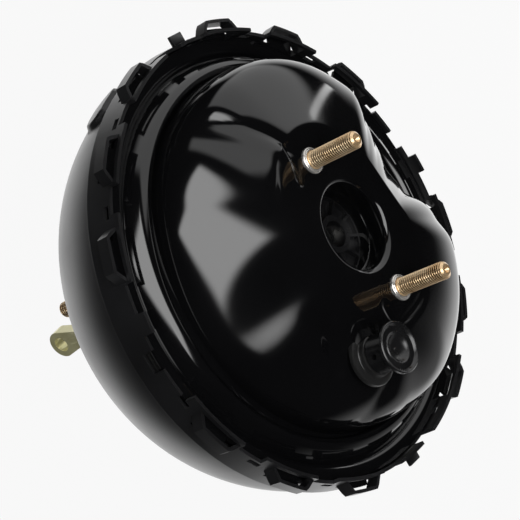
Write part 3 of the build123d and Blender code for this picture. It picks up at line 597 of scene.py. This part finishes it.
def frontOuterRows():
    # (radius, depth) across the trough, the bead, the corner and the flange, out to the lugs
    trough, deep, flange = dome["trough"], dome["troughDepth"], dome["flangeDepth"]
    beadR, beadD = dome["bead"]
    cornerR, cornerD = dome["corner"]
    rows = [(trough - 1.5, deep), (trough, deep - 0.5)]
    rows += [(beadR - 1.9, beadD + 1.9), (beadR - 1.1, beadD + 0.5), (beadR, beadD), (beadR + 1.2, beadD + 0.5)]
    rows += [(beadR + 2.6, beadD + 1.8), (cornerR - 1.4, cornerD - 1.6), (cornerR, cornerD - 0.4)]
    rows += [(cornerR + 1.4, cornerD - 0.9), (cornerR + 3, flange + 0.2), (cornerR + 4.4, flange)]
    rows += [(dome["rim"], flange), (dome["lugReach"], flange)]
    return rows


def makeFrontShell():
    inner = frontInnerRows()
    outer = frontOuterRows()
    padRows = dome["padRows"]
    levels = [(i / dome["levels"]) ** dome["crowding"] for i in range(dome["levels"] + 1)]
    rowCount = len(inner) + padRows + len(levels) + len(outer)
    angles = columnAngles(edgesOf(stations, dome["lugAngle"]), dome["columnStep"])

    def foldAt(radius, angle):
        a = math.radians(angle)
        return foldDepth(radius * math.cos(a), radius * math.sin(a))

    def place(angle, row):
        if row < len(inner):
            radius, depth = inner[row]
            return ringPoint(radius, angle, depth)
        row -= len(inner)
        if row < padRows:
            start = inner[-1][0]
            edge = domePoint(angle, 0)[0]
            radius = start + (edge - start) * (row + 1) / (padRows + 1)
            return ringPoint(radius, angle, foldAt(radius, angle))
        row -= padRows
        if row < len(levels):
            radius, depth = domePoint(angle, levels[row])
            depth += foldAt(radius, angle) * ease((dome["foldsEnd"] - depth) / dome["foldsFade"])
            return ringPoint(radius, angle, min(depth, dome["troughDepth"]))
        radius, depth = outer[row - len(levels)]
        return ringPoint(radius, angle, depth)

    def outward(centre):
        onFront = centre.y <= yAt(20) * mm  # the first face is in the cup, where out is towards the axis
        return Vector((0, -1, 0)) if onFront else Vector((-centre.x, 0, -centre.z))

    def offLug(centre):
        radius = math.hypot(centre.x, centre.z) / mm
        angle = angleAndDepth(centre)[0]
        return radius > dome["rim"] and nearest(angle, stations) > dome["lugAngle"] / 2

    shell = rollGrid("frontShell", angles, rowCount, place)
    aim(shell, outward)
    deleteFaces(shell, offLug)
    # the dome's creases are softened, and the cup's mouth and the trough stay crisp
    soften = shell.vertex_groups.new(name="soften")
    low = dome["pilot"] + dome["pilotLip"] + dome["softFrom"]
    for vertex in shell.data.vertices:
        radius = math.hypot(vertex.co.x, vertex.co.z) / mm
        depth = vertex.co.y / mm + body["depth"]
        if low < radius < dome["trough"] and depth < dome["softEnd"]:
            soften.add([vertex.index], ease((radius - low) / dome["softFade"]), "REPLACE")
    smooth = shell.modifiers.new("softCreases", "SMOOTH")
    smooth.factor = 0.5
    smooth.iterations = dome["softRounds"]
    smooth.vertex_group = "soften"
    thicken(shell)
    smoothEdges(shell, dome["smoothAngle"])
    paint(shell, "glossBlack")
    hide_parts("front_shell")
    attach(shell, "housing")
    return shell


frontShell = makeFrontShell()
print("front shell:", len(frontShell.data.polygons), "faces")


cylinderStud = {
    "spacing": 85.72, "radius": 5.0, "shank": 5.4, "pitch": 1.5, "depthOfThread": 0.9, "back": 5.3, "reach": 36.0,
    "seat": 3.8, "threadStart": 5.2, "point": 1.5, "tip": 0.62, "dimple": 0.4, "headRadius": 9.0, "head": 3.5,
}
firewallStud = {
    "spacing": (85.72, 123.8), "radius": 4.76, "shank": 5.16, "pitch": 1.5875, "depthOfThread": 0.95, "back": 5.3,
    "reach": 26.0, "seat": 0.0, "threadStart": 1.4, "point": 1.5, "tip": 0.62, "dimple": 0.4, "headRadius": 9.0,
    "head": 3.5,
}
# crest and flank shape the wave of the thread, from a wide crest to a narrow root
thread = {"rowsPerTurn": 12, "columns": 40, "lead": 0.3, "crest": 1.5, "flank": 4.4, "rootShade": 0.92}


def threadedRod(name, centre, direction, base, values):
    # one stud along Y: base is the y of the face it stands on, direction -1 forward or +1 back
    start = -values["back"]
    length = values["reach"]
    head, top, shank, radius = values["headRadius"], start - values["head"], values["shank"], values["radius"]
    lead = values["seat"] + thread["lead"]  # where the finely divided stretch begins
    rows = [(head - 0.6, top), (head, top + 0.6), (head, start - 0.4), (head - 0.4, start), (shank, start),
            (shank, values["seat"]), (radius, values["seat"] + 0.02)]
    firstThread = len(rows)
    steps = int((length - lead) / values["pitch"] * thread["rowsPerTurn"])
    rows += [(radius, lead + (length - lead) * i / steps) for i in range(steps + 1)]
    lastThread = len(rows) - 1
    dimple = radius * values["dimple"]
    rows += [(dimple, length), (dimple * 0.5, length - dimple * 0.6), (0.01, length - dimple)]
    angles = [360 * i / thread["columns"] for i in range(thread["columns"])]

    def crest(angle, along):
        # 1 on the crest of the thread, 0 in its root
        phase = (along / values["pitch"] + direction * angle / 360) % 1
        wave = max(0.0, min(1.0, thread["crest"] - abs(phase - 0.5) * thread["flank"]))
        cut = ease((along - values["threadStart"] + values["pitch"]) / values["pitch"])
        return 1 - (1 - wave) * cut

    def place(angle, row):
        radius, along = rows[row]
        if firstThread <= row <= lastThread:
            radius -= values["depthOfThread"] * (1 - crest(angle, along))
            fromTip = length - along
            if fromTip < values["point"]:
                slope = values["radius"] * (1 - values["tip"]) / values["point"]
                radius = min(radius, values["radius"] - (values["point"] - fromTip) * slope)
        a = math.radians(angle)
        return Vector((centre[0] * mm + radius * math.cos(a) * mm, (base + direction * along) * mm,
                       centre[1] * mm + radius * math.sin(a) * mm))

    stud = rollGrid(name, angles, len(rows), place)
    pick(stud)
    bpy.ops.object.mode_set(mode="EDIT")
    bpy.ops.mesh.select_all(action="DESELECT")
    bpy.ops.mesh.select_mode(type="VERT")
    bpy.ops.mesh.select_non_manifold()
    bpy.ops.mesh.edge_face_add()
    bpy.ops.object.mode_set(mode="OBJECT")
    mergeAndFaceOut(stud)
    # painted shade: each point in a thread's root gets a darkness that darkens its colour
    root = stud.data.attributes.new("paintedRootShade", "FLOAT", "POINT")
    for vertex in stud.data.vertices:
        along = (vertex.co.y / mm - base) * direction
        if lead < along < length - values["point"]:
            angle = math.degrees(math.atan2(vertex.co.z / mm - centre[1], vertex.co.x / mm - centre[0]))
            root.data[vertex.index].value = thread["rootShade"] * (1 - crest(angle, along))
    smoothEdges(stud, 35)
    return stud


def joinPieces(name, pieces):
    pick(pieces[0])
    for piece in pieces[1:]:
        piece.select_set(True)
    bpy.ops.object.join()
    pieces[0].name = name
    return pieces[0]


halfSpacing = cylinderStud["spacing"] / 2
cylinderStuds = joinPieces("cylinderStuds", [
    threadedRod("cylinderStud", (side * halfSpacing, 0), -1, yAt(0), cylinderStud) for side in (1, -1)])
paint(cylinderStuds, "goldZinc")
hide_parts("cylinder_studs")
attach(cylinderStuds, "housing")

wallX, wallZ = (spacing / 2 for spacing in firewallStud["spacing"])
firewallStuds = joinPieces("firewallStuds", [
    threadedRod("firewallStud", (sx * wallX, sz * wallZ), 1, 0, firewallStud) for sx in (1, -1) for sz in (1, -1)])
paint(firewallStuds, "goldZinc")
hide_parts("firewall_studs")
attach(firewallStuds, "housing")

collar = {"radius": 7.5, "height": 3.8, "bore": 5.45, "step": 6.3, "grooveDepth": 0.9, "steps": 64}


def makeCollar(side):
    rim, top = collar["radius"], yAt(0) - collar["height"]
    step, low = collar["step"], top + collar["grooveDepth"]
    bore = collar["bore"]
    profile = [(bore, yAt(0)), (bore, top + 0.15), (bore + 0.15, top), (step - 0.2, top), (step, top + 0.2),
               (step + 0.05, low), (step + 0.45, low), (rim - 0.5, low - 0.35), (rim - 0.1, low), (rim, low + 0.5),
               (rim, yAt(0))]
    return turnProfile("collar", profile, (side * halfSpacing * mm, 0), collar["steps"])


collars = joinPieces("studCollars", [makeCollar(side) for side in (1, -1)])
smoothEdges(collars, 40)
paint(collars, "silverZinc")
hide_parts("stud_collars")
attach(collars, "housing")
print("studs and collars made")


port = {
    "radius": 72.0, "angle": 144.0, "seat": 8.0, "sheet": 2.0, "flange": 3.4, "flangeRadius": 16.2,
    "neck": 3.4, "neckRadius": 11.6, "throat": 6.5, "hole": 9.45,
    "shank": 6.2, "plugNeck": 10.6, "disc": 14.3, "discThickness": 2.2, "reach": 15.0, "tail": 6.0,
    "crossHole": 1.7, "crossDepth": -4.5, "crossAngle": 69.0, "drillLength": 8.0, "steps": 96,
}
portTurn = math.radians(port["angle"])
portCentre = [port["radius"] * turned * mm for turned in (math.cos(portTurn), math.sin(portTurn))]


def depthProfile(points):
    return [(radius, yAt(depth)) for radius, depth in points]


def makeGrommet():
    seat = port["seat"]
    face = seat - port["flange"]
    top = face - port["neck"]
    inside = seat + port["sheet"]
    throat, neck, flange, hole = port["throat"], port["neckRadius"], port["flangeRadius"], port["hole"]
    profile = depthProfile([
        (throat, top + 0.5), (throat + 0.5, top), (neck - 1.2, top), (neck - 0.3, top + 0.4), (neck, top + 1.2),
        (neck, face - 0.5), (neck + 0.5, face), (flange - 1.6, face), (flange - 0.5, face + 0.4),
        (flange, face + 1.5), (flange, seat - 0.6), (flange - 0.6, seat - 0.06), (hole, seat - 0.06),
        (hole, inside + 0.06), (hole + 2, inside + 0.06), (hole + 1, seat + 4), (throat, seat + 5),
    ])
    grommet = turnProfile("portGrommet", profile, portCentre, port["steps"])
    smoothEdges(grommet, 45)
    paint(grommet, "blackRubber")
    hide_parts("port_grommet")
    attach(grommet, "housing")


def makePlug():
    top = -port["reach"]
    under = top + port["discThickness"]
    neckEnd = port["seat"] - port["flange"] - port["neck"] - 0.3
    tail = port["seat"] + port["tail"]
    disc, neck, shank = port["disc"], port["plugNeck"], port["shank"]
    profile = depthProfile([
        # the dished face, from its middle out to the rim
        (0.01, top + 3.2), (0.5, top + 3.3), (0.9, top + 3.9), (3.0, top + 3.9), (5.4, top + 3.4), (7.2, top + 2.2),
        (8.0, top + 1.3), (8.5, top + 1.2), (9.0, top + 1.6), (disc - 2.4, top + 1.5), (disc - 1.6, top + 0.7),
        (disc - 0.9, top + 0.05), (disc - 0.4, top), (disc, top + 0.4), (disc, under - 0.3), (disc - 0.4, under),
        # the neck, and the shank in the grommet
        (neck + 1.2, under + 0.3), (neck + 0.3, under + 0.9), (neck, under + 2.0), (neck + 0.3, neckEnd - 0.5),
        (neck - 0.2, neckEnd), (shank, neckEnd), (shank, tail - 2), (shank - 2, tail), (0.01, tail),
    ])
    plug = turnProfile("portPlug", profile, portCentre, port["steps"])
    # small hole in the side of the neck
    turn = math.radians(port["crossAngle"])
    outward = Vector((math.cos(turn), 0, math.sin(turn)))
    centre = Vector((portCentre[0], yAt(port["crossDepth"]) * mm, portCentre[1]))
    deselectAll()
    bpy.ops.mesh.primitive_cylinder_add(
        vertices=32, radius=port["crossHole"] * mm, depth=port["drillLength"] * mm,
        location=centre + outward * neck * mm, rotation=outward.to_track_quat("Z", "Y").to_euler())
    drill = bpy.context.object
    cut = plug.modifiers.new("crossHole", "BOOLEAN")
    cut.operation = "DIFFERENCE"
    cut.solver = "EXACT"
    cut.object = drill
    applyAll(plug)
    bpy.data.objects.remove(drill)
    smoothEdges(plug, 40)
    paint(plug, "blackPlastic")
    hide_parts("port_plug")
    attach(plug, "plug")


makeGrommet()
makePlug()
print("vacuum port made")


nodeFinish = {
    "front_reinforcement": "plainSteel", "rear_reinforcement": "plainSteel", "pushrod_disc": "blackPlastic",
    "output_seal": "blackRubber", "rear_bearing": "whitePlastic", "rear_seal": "blackRubber",
    "seal_retainer": "plainSteel", "power_piston": "brownPlastic", "diaphragm_plate": "plainSteel",
    "plate_lock_ring": "whitePlastic", "output_rod": "silverZinc", "adjusting_screw": "silverZinc",
    "reaction_disc": "blackRubber", "rod_retainer": "plainSteel", "stop_key": "plainSteel",
    "poppet_valve": "blackRubber", "poppet_retainer": "plainSteel", "poppet_spring": "plainSteel",
    "air_filter": "greyFoam", "silencer": "whiteFelt", "valve_plunger": "silverZinc", "ball_retainer": "plainSteel",
    "input_rod": "paleZinc",
}
for node, finish in nodeFinish.items():
    paint(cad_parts[node], finish)
print("carried-over nodes finished:", len(nodeFinish))


# springs and rubber copied from their nodes and fixed to a body, each with its joint, the y of the end that stays,
# and how far the other end travels
softPieces = {
    "return_spring": {
        "name": "returnSpring", "joint": "piston_stroke", "body": "housing", "stays": -111.2, "travel": 38.0,
        "finish": "plainSteel", "slot": "spring_steel"},
    "diaphragm": {
        "name": "rollingDiaphragm", "joint": "piston_stroke", "body": "housing", "stays": -86.2, "travel": 38.0,
        "finish": "blackRubber", "slot": "black_rubber"},
    "valve_spring": {
        "name": "valveSpring", "joint": "valve_travel", "body": "piston", "stays": 1.3, "travel": 1.6,
        "finish": "plainSteel", "slot": "spring_steel"},
}
softSmoothAngle = 35


def copyNode(node, name, finish):
    piece = bpy.data.objects.new(name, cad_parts[node].data.copy())
    bpy.context.scene.collection.objects.link(piece)
    mergeAndFaceOut(piece, recalculate=False)
    smoothEdges(piece, softSmoothAngle)
    paint(piece, finish)
    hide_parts(node)
    return piece


def shorten(piece, body):
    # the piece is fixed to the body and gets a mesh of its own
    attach(piece, body)
    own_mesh(piece)


for node, soft in softPieces.items():
    piece = copyNode(node, soft["name"], soft["finish"])
    shorten(piece, soft["body"])

# dust boot, cut in three: a grip on the neck, the pleats, and a mouth round the rod
boot = {"gripEnd": 22.9, "pleatsEnd": 54.0, "sleeveStart": 57.5, "travel": 29.5}


def makeBootPart(name, front, back):
    part = copyNode("dust_boot", name, "blackRubber")
    for y, outer in ((back, True), (front, False)):
        if y is None:
            continue
        # the side beyond the cut goes, and the cut is closed
        pick(part)
        bpy.ops.object.mode_set(mode="EDIT")
        bpy.ops.mesh.select_all(action="SELECT")
        bpy.ops.mesh.bisect(plane_co=(0, y * mm, 0), plane_no=(0, 1, 0), use_fill=True,
                            clear_outer=outer, clear_inner=not outer)
        bpy.ops.object.mode_set(mode="OBJECT")
    smoothEdges(part, softSmoothAngle)
    return part


bootGrip = makeBootPart("bootGrip", None, boot["gripEnd"])
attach(bootGrip, "housing")
bootPleats = makeBootPart("bootPleats", boot["gripEnd"], boot["pleatsEnd"])
shorten(bootPleats, "housing")
bootMouth = makeBootPart("bootMouth", boot["pleatsEnd"], None)
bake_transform(bootMouth)


studio = {
    "floorSize": 12, "floorDrop": 0.32, "floorTone": (0.82, 0.82, 0.82), "floorWhite": 0.9,
    "fill": 0.4, "unlit": 0.01,
    # what polished pieces see of the room: way to it, half width and height, soft edge, level
    "glows": (
        {"way": (-0.2, 0.71, -0.67), "half": (1.25, 1.25), "soft": 0.5, "level": 1.4},
        {"way": (0.345, -0.753, 0.58), "half": (0.53, 0.33), "soft": 0.06, "level": 6.0},
        {"way": (0.62, -0.55, -0.56), "half": (0.6, 0.72), "soft": 0.09, "level": 1.25},
        {"way": (-0.97, 0.19, -0.14), "half": (0.3, 0.3), "soft": 0.25, "level": 0.65},
        {"way": (0.0, -0.35, -0.93), "half": (0.016, 0.2), "soft": 0.008, "level": 4.0},
        {"way": (-0.78, -0.1, -0.62), "half": (0.3, 0.3), "soft": 0.2, "level": 0.5},
    ),
    "keyPanel": {"place": (0.05, -1.05, 0.62), "target": (0, -0.1, 0.05), "size": (0.75, 0.6), "watts": 8},
}


def mixShaders(tree, share, first, second):
    mix = tree.nodes.new("ShaderNodeMixShader")
    for socket, feed in zip(mix.inputs, (share, first, second)):
        tree.links.new(feed, socket)
    return mix.outputs["Shader"]


def makeFloor():
    deselectAll()
    low = min(corner[2] for corner in cadBox)
    bpy.ops.mesh.primitive_plane_add(size=studio["floorSize"], location=(0, 0, low - studio["floorDrop"]))
    floor = bpy.context.object
    floor.name = "floor"
    bakePlace(floor)
    material = bpy.data.materials.new("paleFloor")
    material.use_nodes = True
    tree = material.node_tree
    tree.nodes.clear()
    out = tree.nodes.new("ShaderNodeOutputMaterial")
    matte = tree.nodes.new("ShaderNodeBsdfDiffuse")
    matte.inputs["Color"].default_value = (*studio["floorTone"], 1)
    white = tree.nodes.new("ShaderNodeEmission")
    path = tree.nodes.new("ShaderNodeLightPath")
    share = addMath(tree, "MULTIPLY", path.outputs["Is Camera Ray"], studio["floorWhite"])
    seen = mixShaders(tree, share, matte.outputs["BSDF"], white.outputs["Emission"])
    # polished pieces see the room through the floor
    clear = tree.nodes.new("ShaderNodeBsdfTransparent")
    surface = mixShaders(tree, path.outputs["Is Glossy Ray"], seen, clear.outputs["BSDF"])
    tree.links.new(surface, out.inputs["Surface"])
    floor.data.materials.append(material)


def roomGlow(tree, way, glow):
    # a soft-edged bright panel in the given direction; gives the socket with its level
    forward = Vector(glow["way"]).normalized()
    across = forward.cross(Vector((0, 0, 1))).normalized()
    upward = across.cross(forward)

    def along(axis):
        node = tree.nodes.new("ShaderNodeVectorMath")
        node.operation = "DOT_PRODUCT"
        node.inputs[1].default_value = axis
        tree.links.new(way, node.inputs[0])
        return node.outputs["Value"]

    ahead = addMath(tree, "MAXIMUM", along(forward), 0.001)
    share = addMath(tree, "GREATER_THAN", ahead, 0.01)
    for axis, half in zip((across, upward), glow["half"]):
        off = addMath(tree, "ABSOLUTE", addMath(tree, "DIVIDE", along(axis), ahead))
        edge = tree.nodes.new("ShaderNodeMapRange")
        edge.interpolation_type = "SMOOTHSTEP"
        setInputs(edge, {"From Min": half + glow["soft"], "From Max": half - glow["soft"]})
        tree.links.new(off, edge.inputs["Value"])
        share = addMath(tree, "MULTIPLY", share, edge.outputs["Result"])
    return addMath(tree, "MULTIPLY", share, glow["level"])


def makeWorld():
    world = bpy.data.worlds.new("whiteRoom")
    bpy.context.scene.world = world
    world.use_nodes = True
    tree = world.node_tree
    tree.nodes.clear()
    out = tree.nodes.new("ShaderNodeOutputWorld")
    fill, seen, room = (tree.nodes.new("ShaderNodeBackground") for count in range(3))
    for light in (fill, seen, room):
        light.inputs["Color"].default_value = (1, 1, 1, 1)
    fill.inputs["Strength"].default_value = studio["fill"]
    way = tree.nodes.new("ShaderNodeTexCoord")
    path = tree.nodes.new("ShaderNodeLightPath")
    level = studio["unlit"]
    for glow in studio["glows"]:
        level = addMath(tree, "ADD", roomGlow(tree, way.outputs["Generated"], glow), level)
    tree.links.new(level, room.inputs["Strength"])
    # the camera and clear things see plain white, polished pieces see the room, and the rest gets the fill
    clear = addMath(tree, "MAXIMUM", path.outputs["Is Camera Ray"], path.outputs["Is Transmission Ray"])
    light = mixShaders(tree, clear, fill.outputs["Background"], seen.outputs["Background"])
    light = mixShaders(tree, path.outputs["Is Glossy Ray"], light, room.outputs["Background"])
    tree.links.new(light, out.inputs["Surface"])


def addPanel(name, place, target, size, watts):
    data = bpy.data.lights.new(name, "AREA")
    data.shape = "RECTANGLE"
    data.size, data.size_y = size
    data.energy = watts
    lamp = bpy.data.objects.new(name, data)
    bpy.context.scene.collection.objects.link(lamp)
    lamp.location = place
    lamp.rotation_euler = (Vector(target) - Vector(place)).to_track_quat("-Z", "Y").to_euler()
    lamp.visible_glossy = False  # its soft-edged reflection is the room's


makeFloor()
makeWorld()
addPanel("keyPanel", **studio["keyPanel"])
bpy.context.scene.view_settings.view_transform = "Standard"
print("studio made")
